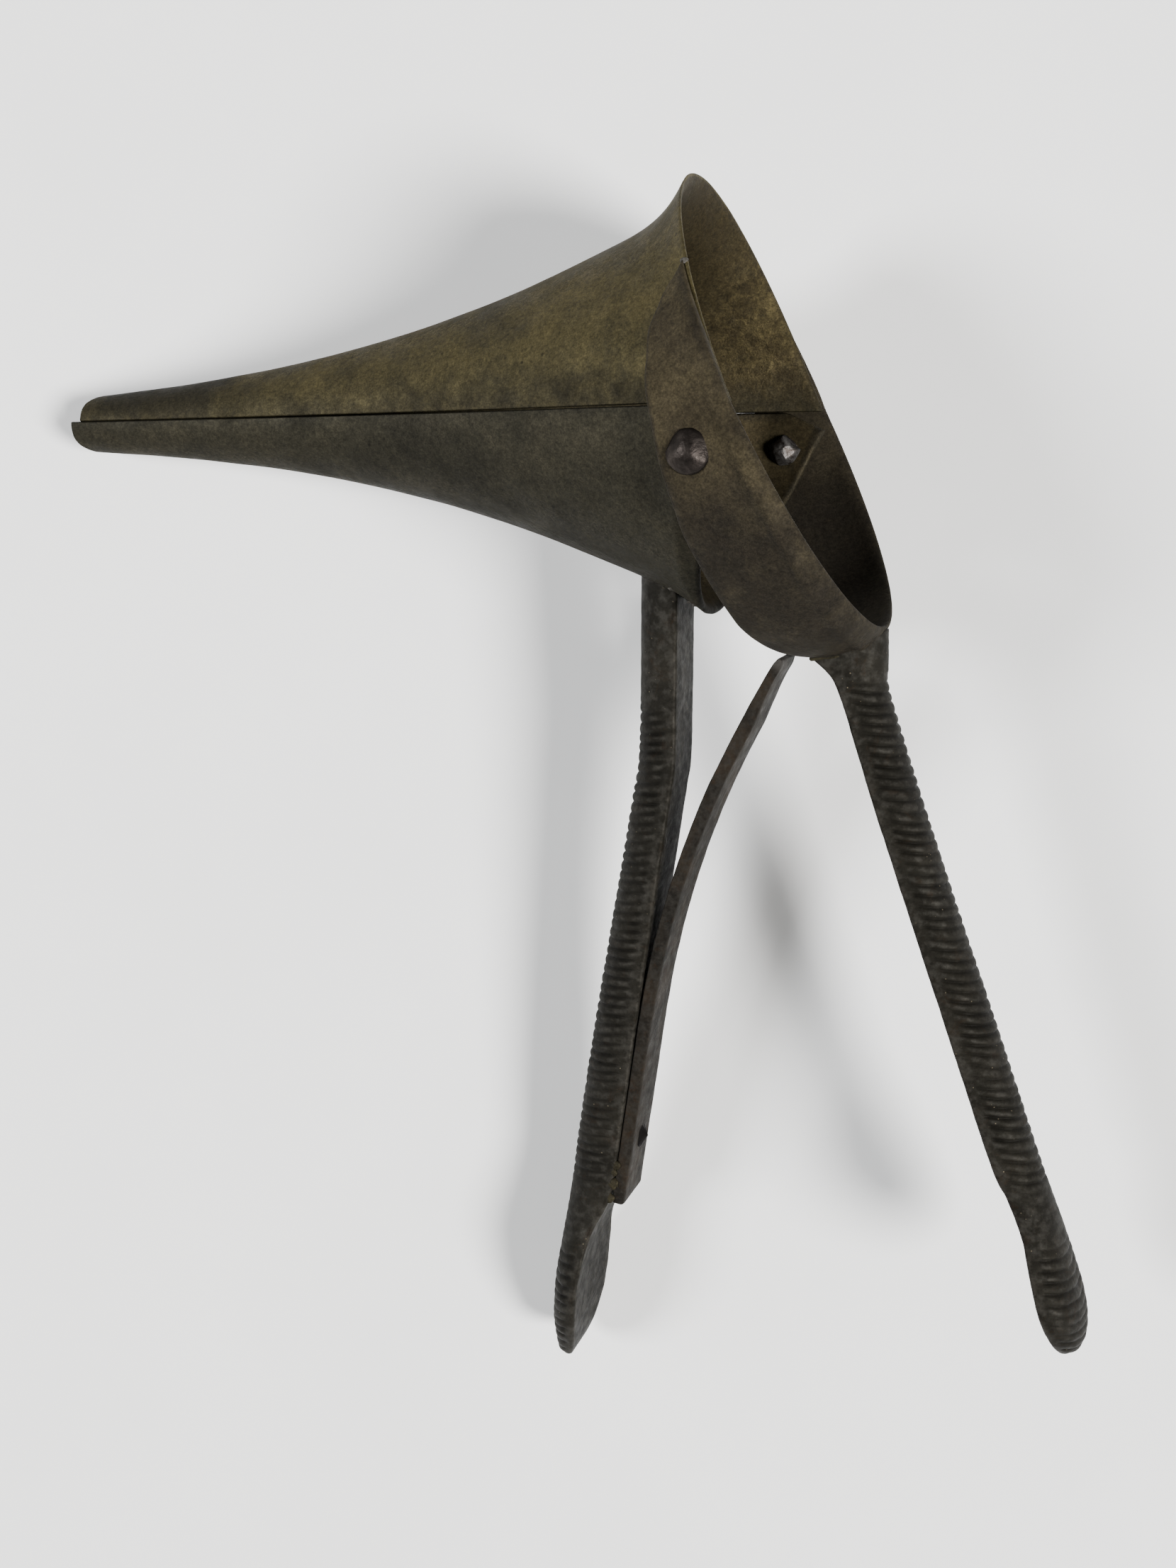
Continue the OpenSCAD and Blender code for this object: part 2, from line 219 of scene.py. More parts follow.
def at_key(points, key):
    """The value at a key, from a list of (key, value) pairs, joined by slightly eased straight lines."""
    keys = np.array([p[0] for p in points], float)
    values = np.array([p[1] for p in points], float)
    i = np.clip(np.searchsorted(keys, key, side="right") - 1, 0, len(keys) - 2)
    t = (key - keys[i]) / (keys[i + 1] - keys[i])
    return lerp(values[i], values[i + 1], lerp(t, ease(t), 0.35))


def axis_z(x):
    return AXIS_AT_HINGE + AXIS_RISE * x


def split_z(x):
    return SPLIT_AT_HINGE + SPLIT_RISE * x


def half_gap(x):
    """Half the gap between the valves, which close on each other towards the tip."""
    return VALVE_GAP / 2 * ease((x - GAP_SHUT_X) / GAP_RUN)


def stem_r(x):
    t = np.maximum(0, (x + FUNNEL_LENGTH) / (FUNNEL_LENGTH - BELL_START))
    return TIP_R + TAPER * t + BELL * t ** BELL_POWER


def bell_edge_r(x, edge_x, edge_r):
    run = edge_x + BELL_START
    d = np.maximum(x + BELL_START, 0)
    bell = BELL_R + BELL_SLOPE * d + (edge_r - BELL_R - BELL_SLOPE * run) * (d / run) ** LIP_POWER
    return np.where(x <= -BELL_START, stem_r(x), bell)


def upper_edge_x(angle):
    return MOUTH_X - TOP_LEAN * sin_d(angle)


def ring_edge_x(angle):
    return MOUTH_X - RING_LEAN * sin_d(angle)


def lower_edge_x(angle):
    return LOWER_MOUTH_X + LOWER_LEAN * sin_d(angle)


def upper_r(x, angle):
    return bell_edge_r(x, upper_edge_x(angle), MOUTH_R + MOUTH_FLARE * sin_d(angle) ** 2)


def lower_r(x, angle):
    cap = lerp(CHEEK_R, LOWER_LIP_R, ease((-angle - 50) / 40))
    return np.minimum(bell_edge_r(x, lower_edge_x(angle), LOWER_LIP_R), cap)


def strap_r(x, angle):
    on_valve = upper_r(x, angle) + 0.03
    back = ring_edge_x(angle)
    reach = np.maximum(0, (x - 5) / (back - 5))
    swell = RING_SWELL * ease((-angle - 25) / 55) * (1 - reach ** 2)
    free = np.maximum(STRAP_INNER_R, bell_edge_r(x, back, MOUTH_R)) + swell
    return np.where(angle >= 12, on_valve, lerp(on_valve, free, ease((12 - angle) / 14)))


def around(x, r, angle, side):
    return np.stack([x, side * r * cos_d(angle), axis_z(x) + r * sin_d(angle)], -1)


def cheek(p, y):
    """Flattens a sheet round the hinge to y, so that it lies square to the rivets."""
    away = np.hypot(p[..., 0] - HINGE_X, p[..., 2])
    w = CHEEK_SHARE * ease((CHEEK_FADE - away) / (CHEEK_FADE - CHEEK_FLAT))
    flat = p.copy()
    flat[..., 1] = lerp(p[..., 1], np.sign(p[..., 1]) * y, w)
    return flat


def field(points, scale, seed, octaves=3):
    """Smooth noise from about -1 to 1 at each point, with features about 1 / scale millimetres across."""
    shift = seed * np.array([17.3, -9.1, 5.7])
    flat = np.asarray(points, float).reshape(-1, 3) * scale + shift
    values = [noise.fractal(p, 0.9, 2.1, octaves) for p in flat]
    return np.array(values).reshape(np.shape(points)[:-1])


# ---- meshes
def facing_out(points, faces):
    """The faces of a closed surface, turned over if they face inwards."""
    fans = np.array([(f[0], f[k], f[k + 1]) for f in faces for k in range(1, len(f) - 1)])
    a, b, c = points[fans[:, 0]], points[fans[:, 1]], points[fans[:, 2]]
    volume = (a * np.cross(b, c)).sum()
    return faces if volume > 0 else [f[::-1] for f in faces]


def make_piece(name, points, faces, material, masks):
    """A smooth-shaded piece from points in the instrument's millimetres, with named masks on its points."""
    mesh = bpy.data.meshes.new(name)
    placed = place(points)
    mesh.from_pydata(placed.tolist(), [], facing_out(placed, faces))
    mesh.validate()
    mesh.update()
    for key, values in masks.items():
        layer = mesh.attributes.new(key, "FLOAT", "POINT")
        layer.data.foreach_set("value", np.asarray(values, np.float32))
    mesh.polygons.foreach_set("use_smooth", [True] * len(mesh.polygons))
    mesh.materials.append(material)
    obj = bpy.data.objects.new(name, mesh)
    bpy.context.scene.collection.objects.link(obj)
    return obj


def finish_piece(obj, body, node=None):
    """Makes a piece ride its body, in place of its CAD node if it has one."""
    if node:
        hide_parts(node)
    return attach(obj, body)


def sheet_masks(count, **masks):
    """The four masks that sheet_metal reads, each 0 all over unless it is given."""
    return {key: masks.get(key, np.zeros(count)) for key in ("edge", "inside", "patch", "dull")}


def crowded(length, radius, count):
    """Distances along a length: even steps inside, and crowded over the rounding at both ends."""
    close = radius * EDGE_STEPS
    inner = np.linspace(radius, length - radius, count)[1:-1]
    return np.concatenate([close, inner, length - close[::-1]])


def fine_ends(length, step, radius):
    """The same, by the size of the even steps."""
    return crowded(length, radius, max(3, int(round((length - 2 * radius) / step))))


def along(points, axis):
    """Distance to the nearer end of a grid's lines, along that axis."""
    steps = np.linalg.norm(np.diff(points, axis=axis), axis=-1)
    zero = np.zeros_like(np.take(steps, [0], axis=axis))
    start = np.concatenate([zero, np.cumsum(steps, axis=axis)], axis=axis)
    total = np.take(start, [-1], axis=axis)
    return np.minimum(start, total - start)


def rounding(t):
    """A quarter circle's height, from 0 at an edge to 1 where t reaches 1."""
    return np.sqrt(1 - (1 - np.clip(t, 0, 1)) ** 2)


def grid_faces(grid):
    """Quads between the neighbours of a grid of point numbers."""
    return np.stack([grid[:-1, :-1], grid[:-1, 1:], grid[1:, 1:], grid[1:, :-1]], -1).reshape(-1, 4)


def rounded_sheet(outer, inner, end_radius, side_radius, centre):
    """Closed sheet between two grids, its edges rounded. centre is 0.5 where the edge rounds over on both
    sides, and 0 where the inner side lies flat on something. Returns points, faces, edge and inside masks."""
    rows, columns = outer.shape[:2]
    middle = (outer + inner) / 2
    to_end, to_side = along(middle, 0), along(middle, 1)
    bulge = rounding(to_end / end_radius) * rounding(to_side / side_radius)
    thick = outer - inner
    c = np.broadcast_to(np.asarray(centre, float), (rows, columns))[..., None]
    top = inner + thick * (c + (1 - c) * bulge[..., None])
    bottom = inner + thick * (c - c * bulge[..., None])
    index = np.arange(rows * columns).reshape(rows, columns)
    inner_index = np.arange((rows - 2) * (columns - 2)).reshape(rows - 2, columns - 2)
    under = index.copy()
    under[1:-1, 1:-1] = rows * columns + inner_index
    faces = grid_faces(index)[:, ::-1].tolist() + grid_faces(under).tolist()
    points = np.concatenate([top.reshape(-1, 3), bottom[1:-1, 1:-1].reshape(-1, 3)])
    near_edge = np.exp(-np.minimum(to_end, to_side) / EDGE_WEAR)
    edge = np.concatenate([near_edge.reshape(-1), near_edge[1:-1, 1:-1].reshape(-1)])
    inside = np.concatenate([np.zeros(rows * columns), np.ones((rows - 2) * (columns - 2))])
    return points, faces, edge, inside


def closed_bar(rings):
    """Points and faces of a bar through closed rings, with a fan over each end."""
    rows, count = rings.shape[:2]
    grid = np.arange(rows * count).reshape(rows, count)
    faces = grid_faces(np.concatenate([grid, grid[:, :1]], axis=1)).tolist()
    low, high = rows * count, rows * count + 1
    faces += [[low, (j + 1) % count, j] for j in range(count)]
    last = (rows - 1) * count
    faces += [[high, last + j, last + (j + 1) % count] for j in range(count)]
    ends = np.stack([rings[0].mean(0), rings[-1].mean(0)])
    return np.concatenate([rings.reshape(-1, 3), ends]), faces


def with_ends(values):
    """A mask on a closed bar's rings, carried on to its two end points."""
    flat = np.asarray(values).reshape(-1)
    return np.concatenate([flat, [flat[0], flat[-1]]])


def bead(path, radius, seed, roughness, sides=12):
    """Points and faces of a lumpy closed bead of solder along a closed path."""
    ahead = np.roll(path, -1, 0) - np.roll(path, 1, 0)
    ahead /= np.linalg.norm(ahead, axis=1)[:, None]
    out = path - path.mean(0)
    out -= (out * ahead).sum(1)[:, None] * ahead
    out /= np.linalg.norm(out, axis=1)[:, None]
    up = np.cross(ahead, out)
    a = np.arange(sides) * 2 * math.pi / sides
    spokes = np.cos(a)[:, None] * out[:, None] + np.sin(a)[:, None] * up[:, None]
    rings = path[:, None] + spokes * radius
    lumps = 1 + roughness * field(rings, 0.9, seed, 2)
    rings = path[:, None] + (rings - path[:, None]) * lumps[..., None]
    grid = np.arange(len(path) * sides).reshape(len(path), sides)
    over, after = np.roll(grid, -1, axis=0), np.roll(grid, -1, axis=1)
    both = np.roll(over, -1, axis=1)
    return rings.reshape(-1, 3), np.stack([grid, over, both, after], -1).reshape(-1, 4).tolist()


def lathe(profile, along_side, sides=72):
    """Rings of a body turned about the hinge line; profile is [distance from the middle, radius]."""
    a = np.arange(sides) * 2 * math.pi / sides
    return np.stack([np.stack([HINGE_X + r * np.cos(a), np.full(sides, along_side * y), r * np.sin(a)], -1)
                     for y, r in profile])


# ---- funnel valves
def valve_grid(point_at, rows_step, columns):
    """Outer and inner grids of a valve. Rows run from tip to mouth, columns from the near to the far edge."""
    length = FUNNEL_LENGTH + 4
    s = fine_ends(length, rows_step, VALVE_EDGE) / length
    s = 1 - (1 - s) ** 1.25
    half = np.pi / 2 * upper_r(lerp(-FUNNEL_LENGTH, 0, s), 0)
    close = SPLIT_EDGE * EDGE_STEPS
    rows = []
    for h in half:
        inner = np.linspace(-1 + SPLIT_EDGE / h, 1 - SPLIT_EDGE / h, columns)[1:-1]
        rows.append(np.concatenate([close / h - 1, inner, 1 - close[::-1] / h]))
    u = np.array(rows)
    s = np.broadcast_to(s[:, None], u.shape)
    return point_at(s, u, 0.0), point_at(s, u, SHEET_T)


def upper_point(s, u, inset):
    nominal = 90 - abs(u) * 90
    tip_x = -FUNNEL_LENGTH + UPPER_SETBACK + TIP_ROUNDING * sin_d(nominal) ** TIP_ROUNDING_POWER
    x = lerp(tip_x, upper_edge_x(nominal), s)
    low = np.degrees(np.arcsin((split_z(x) + half_gap(x) - axis_z(x)) / (upper_r(x, 0) - inset)))
    angle = 90 - abs(u) * (90 - low)
    return around(x, upper_r(x, np.maximum(angle, 0)) - inset, angle, np.where(u < 0, -1, 1))


def lower_point(s, u, inset):
    nominal = -90 + abs(u) * 90
    tip_x = -FUNNEL_LENGTH + TIP_ROUNDING * sin_d(nominal) ** TIP_ROUNDING_POWER
    x = lerp(tip_x, lower_edge_x(nominal), s)
    clear = SPLIT_AT_HINGE - 0.1 - math.tan(math.radians(TRAVEL)) * (x - HINGE_X - 0.4)
    top_z = np.minimum(split_z(x) - half_gap(x), clear)
    top = np.degrees(np.arcsin((top_z - axis_z(x)) / (lower_r(x, 0) - inset)))
    angle = -90 + abs(u) * (90 + top)
    p = around(x, lower_r(x, np.minimum(angle, 0)) - inset, angle, np.where(u < 0, -1, 1))
    return cheek(p, VALVE_CHEEK_Y - inset)


def angle_of(points):
    """How far round the funnel each point is, in degrees up from the side."""
    return np.degrees(np.arctan2(points[:, 2] - axis_z(points[:, 0]), abs(points[:, 1])))


def dent(outer, inner, depth, scale, seed):
    """Hand-worked waviness: both faces of a sheet move together, across the sheet."""
    across = outer - inner
    across /= np.linalg.norm(across, axis=-1)[..., None]
    push = (depth * field(outer, scale, seed, 2))[..., None] * across
    return outer + push, inner + push


def valve_sheet(point_at, dents, seed):
    outer, inner = valve_grid(point_at, rows_step=0.62, columns=96)
    outer, inner = dent(outer, inner, dents, scale=0.11, seed=seed)
    return rounded_sheet(outer, inner, VALVE_EDGE, SPLIT_EDGE, 0.5)


def make_upper_valve(material):
    points, faces, edge, inside = valve_sheet(upper_point, 0.06, 1)
    masks = sheet_masks(len(points), edge=edge, inside=inside, patch=inside * worn_patch(points),
                        dull=upper_dull(points))
    obj = make_piece("upper_valve_sheet", points, faces, material, masks)
    return finish_piece(obj, "upper_jaw", "upper_valve")


def upper_dull(points):
    """Where the upper valve is darker: towards the tip, and a band of painted shade along the split, where
    the valves meet.
    """
    x, _, z = points.T
    above = z - split_z(x)
    darker_near_tip = np.exp(-(np.maximum(abs(x + 67) - 5, 0) / 5) ** 2)
    # The band along the split is painted shade.
    return np.maximum(1.15 * darker_near_tip, 0.9 * ease((6.5 - above) / 7.5))


def worn_patch(points):
    """1 in the middle of a patch of the mouth's far wall, which is worn back to bright brass."""
    x, y, z = points.T
    angle = np.degrees(np.arctan2(z - axis_z(x), y))
    dx = (x - PATCH_X) / PATCH_HALF_X
    da = (angle - PATCH_ANGLE) / PATCH_HALF_ANGLE
    return np.exp(-1.6 * (dx ** 2 + da ** 2) ** 1.5)


def lower_dull(points):
    """Where the lower valve is darker: painted shade along the split and over the mouth's edge, and a darker
    band under its middle.
    """
    x, _, z = points.T
    below = split_z(x) - z
    # The mouth's edge gets painted shade.
    lip = ease((x - lower_edge_x(angle_of(points)) + 0.7) / 0.6)
    band = 0.4 * np.exp(-((x + 30) / 16) ** 2)
    # The narrow band along the split is painted shade.
    return np.maximum.reduce([0.6 * ease((1.6 - below) / 1.6), band, 0.6 * lip])


def make_lower_valve(material):
    points, faces, edge, inside = valve_sheet(lower_point, 0.05, 2)
    masks = sheet_masks(len(points), edge=edge, inside=inside, dull=lower_dull(points))
    obj = make_piece("lower_valve_sheet", points, faces, material, masks)
    return finish_piece(obj, "lower_jaw", "lower_valve")


# ---- yoke
def strap_back(angle):
    """The strap's rear edge: the ring's own below, and above it the valve's rim shows behind the strap."""
    on_valve = upper_edge_x(angle) - RIM_SHOWS * ease((angle - 1) / 32)
    return np.where(angle > 0, on_valve, ring_edge_x(angle))


def strap_edge(angle):
    """How far in from its edges the strap is rounded: crisp edges on the valve, soft ones below."""
    return lerp(STRAP_EDGE, RING_EDGE, ease((8 - angle) / 30))


def strap_point(turn, j, inset):
    angle = abs(turn) - 90
    front = at_key(STRAP_FRONT, angle)
    back = strap_back(angle)
    x = lerp(front, back, j)
    thin = lerp(1.0, STRAP_THIN, ease((angle - 12) / 20))
    from_lip = (back - x - RING_LIP_FROM_BACK) / RING_LIP_WIDTH
    lip = RING_LIP * ease((6 - angle) / 20) * np.exp(-from_lip ** 2)
    r = strap_r(x, angle) + (STRAP_T * thin + lip) * (1 - inset / STRAP_T)
    p = around(x, r, angle, np.where(turn < 0, -1, 1))
    return cheek(p, STRAP_CHEEK_Y + STRAP_T - inset)


def yoke_dull(points):
    """The strap has a painted shadow along its front edge and painted shade along the back of the ring, and
    is darker down towards the rear handle.
    """
    x, _, z = points.T
    angle = angle_of(points)
    from_front = x - at_key(STRAP_FRONT, angle)
    from_back = ring_edge_x(angle) - x
    # Painted shadow under the front edge's step, and painted shade on the ring's rounded back edge.
    edges = np.maximum(np.exp(-(from_front / 0.45) ** 2), 0.7 * np.exp(-(from_back / 0.8) ** 2))
    return np.maximum(0.9 * ease((4 - z) / 13), edges)


def make_yoke(material):
    sweep = 2 * (90 + STRAP_END)
    per_degree = 0.38
    around_ring = fine_ends(sweep * per_degree, 0.42, STRAP_EDGE) / per_degree - sweep / 2
    rows = []
    for turn in around_ring:
        angle = abs(turn) - 90
        width = max(strap_back(angle) - at_key(STRAP_FRONT, angle), 0.3)
        round_off = min(strap_edge(angle), width / 2.2)
        rows.append(crowded(width, round_off, 26) / width)
    j = np.array(rows)
    turn = np.broadcast_to(around_ring[:, None], j.shape)
    outer, inner = strap_point(turn, j, 0.0), strap_point(turn, j, STRAP_T)
    outer, inner = dent(outer, inner, depth=0.04, scale=0.16, seed=3)
    on_valve = ease((abs(turn) - 90 - 2) / 12)
    side_edge = strap_edge(abs(turn) - 90)
    points, faces, edge, inside = rounded_sheet(outer, inner, STRAP_EDGE, side_edge, 0.5 * (1 - on_valve))
    masks = sheet_masks(len(points), edge=edge, inside=inside, dull=yoke_dull(points))
    obj = make_piece("yoke_strap", points, faces, material, masks)
    return finish_piece(obj, "upper_jaw", "yoke")


# ---- handles
def handle_ring(station, outward):
    """Closed D-shaped section, its corners rounded. Returns the points and how far round each one is, from
    -1 to 1 over the round side and ON_FLAT on the flat one."""
    z, flat_x, depth, half_w = station
    r = min(HANDLE_CORNER, 0.42 * depth, 0.42 * half_w)
    last = math.degrees(math.acos(min(1, (r / depth) ** 1.25)))
    a = np.linspace(-last, last, 45)
    crown = np.stack([depth * cos_d(a) ** 0.8, half_w * sin_d(a)], -1)
    b = np.radians(np.linspace(0, 90, 6))[1:]
    corner = np.stack([r - r * np.sin(b), half_w - r + r * np.cos(b)], -1)
    y = np.linspace(1, -1, 13)[1:-1] * (half_w - r)
    dish = 0.1 * ease((half_w - GRIP_W) / 2) * (1 - (y / (half_w - r)) ** 2) * 2
    flat = np.stack([dish, y], -1)
    other = corner[::-1] * (1, -1)
    loop = np.concatenate([crown, corner, flat, other])
    shares = (a / 90, np.ones(len(corner)), np.full(len(flat), ON_FLAT), -np.ones(len(other)))
    round_share = np.concatenate(shares)
    points = np.stack([flat_x + outward * loop[:, 0], loop[:, 1], np.full(len(loop), z)], -1)
    return (points, round_share) if outward > 0 else (points[::-1], round_share[::-1])


def handle_rings(stations, outward, step):
    """Rings at even heights along a handle."""
    t = np.linspace(0, 1, 4000)
    z = curve(stations, t)[:, 0]
    heights = np.arange(z[0], z[-1], -step)
    at = np.interp(-heights, -z, t)
    ends = curve(stations, np.append(at, 1.0))
    rings = [handle_ring(s, outward) for s in ends]
    return np.stack([r[0] for r in rings]), rings[0][1]


def rib_grooves(rings, round_share, ribs, seed):
    """How deep into a groove each point is, from 0 to about 1."""
    start, waist, leaf, fade = ribs
    share = np.broadcast_to(round_share, rings.shape[:2])
    z = rings[..., 2]
    wander = 0.24 * field(rings * np.array([0.3, 0.3, 1.0]), 0.35, seed, 2)
    phase = (z - RIB_BOW * share ** 2 + wander) / RIB_PITCH
    groove = 1 - np.abs(np.sin(np.pi * phase)) ** 0.75
    on_crown = ease((0.95 - np.abs(share)) / 0.12)
    worn = 0.8 + 0.5 * field(rings, 0.3, seed + 5, 3)
    full = ease((start - z) / 1.5) * (1 - fade * ease((waist - z) / 1.5) * ease((z - leaf) / 2))
    return groove * on_crown * np.clip(worn, 0.25, 1.2) * full


def cut_ribs(rings, groove, flat_x):
    """Moves the points in towards the middle of the flat face by the grooves' depth."""
    middle = np.stack([flat_x, np.zeros_like(flat_x), rings[:, 0, 2]], -1)[:, None]
    out = rings - middle
    size = np.maximum(np.linalg.norm(out, axis=-1, keepdims=True), 1e-6)
    return rings - out / size * (RIB_DEPTH * groove)[..., None]


def root_ring(ring, sheet_r, embed):
    """A handle's top ring, let down on to the sheet that it is brazed to."""
    top = ring.copy()
    top[:, 2] = axis_z(top[:, 0]) - np.sqrt(sheet_r(top[:, 0]) ** 2 - top[:, 1] ** 2) + embed
    return top


def make_handle(name, stations, root, outward, sheet_r, ribs, body, node, seed, material):
    rings, share = handle_rings(stations, outward, 0.105)
    flat_x = curve(stations, np.linspace(0, 1, 4000))
    flat_x = np.interp(-rings[:, 0, 2], -flat_x[:, 0], flat_x[:, 1])
    groove = rib_grooves(rings, share, ribs, seed)
    rings = cut_ribs(rings, groove, flat_x)
    top = root_ring(handle_ring(root, outward)[0], sheet_r, ROOT_EMBED)
    t = np.linspace(0, 1, 24)[:-1, None, None]
    neck = top + (rings[0] - top) * t
    rings = np.concatenate([neck, rings])
    groove = np.concatenate([np.zeros(neck.shape[:2]), groove])
    middle = rings.mean(1, keepdims=True)
    rough = 0.035 * field(rings, 0.7, seed + 9, 3)
    rings = middle + (rings - middle) * (1 + rough / 3)[..., None]
    points, faces = closed_bar(rings)
    corner = np.broadcast_to(np.exp(-((np.abs(share) - 1.0) / 0.06) ** 2), rings.shape[:2])
    face = np.broadcast_to(share > 2, rings.shape[:2])
    masks = {"groove": with_ends(groove), "edge": with_ends(corner), "face": with_ends(face)}
    obj = make_piece(name, points, faces, material, masks)
    return finish_piece(obj, body, node)


def lower_bottom_r(x):
    return lower_r(x, np.full_like(x, -90.0))


def strap_bottom_r(x):
    return strap_r(x, np.full_like(x, -90.0)) + STRAP_T


def make_front_handle(material):
    return make_handle("front_handle_bar", FRONT_STATIONS, FRONT_STATIONS[0], outward=-1,
                       sheet_r=lower_bottom_r, ribs=FRONT_RIBS, body="lower_jaw", node="front_handle",
                       seed=11, material=material)


def make_rear_handle(material):
    return make_handle("rear_handle_bar", REAR_STATIONS, REAR_ROOT, outward=1,
                       sheet_r=strap_bottom_r, ribs=REAR_RIBS, body="upper_jaw", node="rear_handle",
                       seed=23, material=material)


def make_root_braze(name, station, outward, sheet_r, body, seed, material):
    """Bead of braze round the root of a handle."""
    z, flat_x, depth, half_w = station
    station = (z, flat_x + outward * BEAD_INSET, depth - 2 * BEAD_INSET, half_w - BEAD_INSET / 2)
    ring = root_ring(handle_ring(station, outward)[0], sheet_r, -0.1)
    closed = np.concatenate([ring, ring[:1]])
    gaps = np.linalg.norm(np.diff(closed, axis=0), axis=1)
    start = np.concatenate([[0], np.cumsum(gaps)])
    at = np.linspace(0, start[-1], 97)[:-1]
    path = np.stack([np.interp(at, start, closed[:, k]) for k in range(3)], -1)
    points, faces = bead(path, BEAD_R, seed, roughness=0.5)
    obj = make_piece(name, points, faces, material, sheet_masks(len(points)))
    return finish_piece(obj, body)


# ---- rivets
def hammered(rings, planes, seed, soft):
    """Flattens a dome with hammer blows. A plane is its direction, a point at the dome's foot and how far
    from there it cuts; soft is how gently a cut blends into the dome, in millimetres."""
    flat = rings.reshape(-1, 3).copy()
    for normal, foot, reach in planes:
        over = (flat - foot) @ normal - reach
        flat -= (soft * np.logaddexp(0, over / soft))[:, None] * normal
    flat += 0.07 * field(flat, 1.1, seed, 3)[:, None] * (flat - flat.mean(0)) / 2
    return flat.reshape(rings.shape)


def hammer_planes(rng, foot, axes, count, wander, leans, reaches):
    """Random blows round a dome; axes are its outward direction and two square to it."""
    out, side, up = axes
    planes = []
    for k in range(count):
        turn = 2 * math.pi * (k + rng.uniform(-wander, wander)) / count
        lean = math.radians(rng.uniform(*leans))
        normal = out * math.cos(lean) + (side * math.cos(turn) + up * math.sin(turn)) * math.sin(lean)
        planes.append((normal, foot, rng.uniform(*reaches)))
    return planes


def make_pivot_rivet(side, name, node, seed, material):
    inner_y = VALVE_CHEEK_Y - SHEET_T - 0.08
    outer_y = STRAP_CHEEK_Y + STRAP_T
    rng = np.random.default_rng(seed)
    tail = [(inner_y - RIVET_TAIL_H * math.cos(a), PIVOT_TAIL_R * math.sin(a) ** 0.55)
            for a in np.radians(np.linspace(3, 90, 20))]
    shank = [(inner_y - 0.05, PIVOT_R + 0.3), (inner_y, PIVOT_R)]
    shank += [(y, PIVOT_R) for y in np.linspace(inner_y + 0.1, outer_y - 0.25, 5)]
    head = [(outer_y - 0.2, PIVOT_HEAD_R - 0.08), (outer_y - 0.1, PIVOT_HEAD_R)]
    head += [(outer_y + RIVET_HEAD_H * math.sin(a), PIVOT_HEAD_R * math.cos(a) ** 0.85)
             for a in np.radians(np.linspace(4, 87, 22))]
    tail_rings, rest, head_rings = (lathe(part, side) for part in (tail, shank, head))
    tail_foot = np.array([HINGE_X, side * inner_y, 0])
    head_foot = np.array([HINGE_X, side * outer_y, 0])
    x, y, z = np.eye(3)
    tail_planes = hammer_planes(rng, tail_foot, (-side * y, x, z), 17, 0.3, (24, 80), (1.395, 1.53))
    head_planes = hammer_planes(rng, head_foot, (side * y, x, z), 7, 0.3, (15, 50), (1.3578, 1.4892))
    tail_rings = hammered(tail_rings, tail_planes, seed, soft=0.02)
    head_rings = hammered(head_rings, head_planes, seed + 1, soft=0.12)
    rings = np.concatenate([tail_rings, rest, head_rings])
    points, faces = closed_bar(rings)
    struck = (np.ones(tail_rings.shape[:2]), np.zeros(rest.shape[:2]), np.zeros(head_rings.shape[:2]))
    obj = make_piece(name, points, faces, material, {"edge": with_ends(np.concatenate(struck))})
    return finish_piece(obj, "upper_jaw", node)


# ---- spring
def spring_frames(t):
    """The spring's middle line at each t, as x and z, and the direction square to it."""
    line = curve(SPRING_LINE, t)
    d = curve(SPRING_LINE, np.minimum(t + 0.004, 1)) - curve(SPRING_LINE, np.maximum(t - 0.004, 0))
    d /= np.linalg.norm(d, axis=1)[:, None]
    return line, np.stack([-d[:, 1], d[:, 0]], -1)


def make_spring(material):
    t = fine_ends(SPRING_LENGTH, 0.5, SPRING_END_R) / SPRING_LENGTH
    down = t * SPRING_LENGTH
    line, across = spring_frames(t)
    a = np.linspace(0, 2 * math.pi, 64, endpoint=False)
    y_share = np.sign(np.cos(a)) * np.abs(np.cos(a)) ** SPRING_CORNER_POWER
    t_share = np.sign(np.sin(a)) * np.abs(np.sin(a)) ** SPRING_CORNER_POWER
    from_end = np.minimum(t, 1 - t) * SPRING_LENGTH
    bulge = rounding(from_end / SPRING_END_R) * 0.55 + 0.45
    ground = 1 - 0.4 * ease((1.8 - down) / 1.8)
    extra = SPRING_EXTRA / 2 * ease((down - 3) / 7)
    half_t = (SPRING_T / 2 + extra) * bulge * ground
    half_w = SPRING_W / 2 * (1 - 0.02 * (1 - bulge))
    offset = half_t[:, None] * t_share + extra[:, None]
    x = line[:, None, 0] + across[:, None, 0] * offset
    z = line[:, None, 1] + across[:, None, 1] * offset
    y = half_w[:, None] * y_share * np.ones_like(x)
    rings = np.stack([x, y, z], -1)
    rings[..., 1] += 0.05 * field(rings, 0.45, 31, 2)
    rings[..., 0] += 0.035 * field(rings, 0.5, 32, 3)
    points, faces = closed_bar(rings)
    narrow = np.broadcast_to(np.abs(y_share) ** 8, rings.shape[:2])
    tip = np.broadcast_to(ease((2.4 - down[:, None]) / 1.2), rings.shape[:2])
    obj = make_piece("leaf_spring_blade", points, faces, material,
                     {"edge": with_ends(narrow), "tip": with_ends(tip)})
    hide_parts("leaf_spring")
    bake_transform(obj)
    return obj


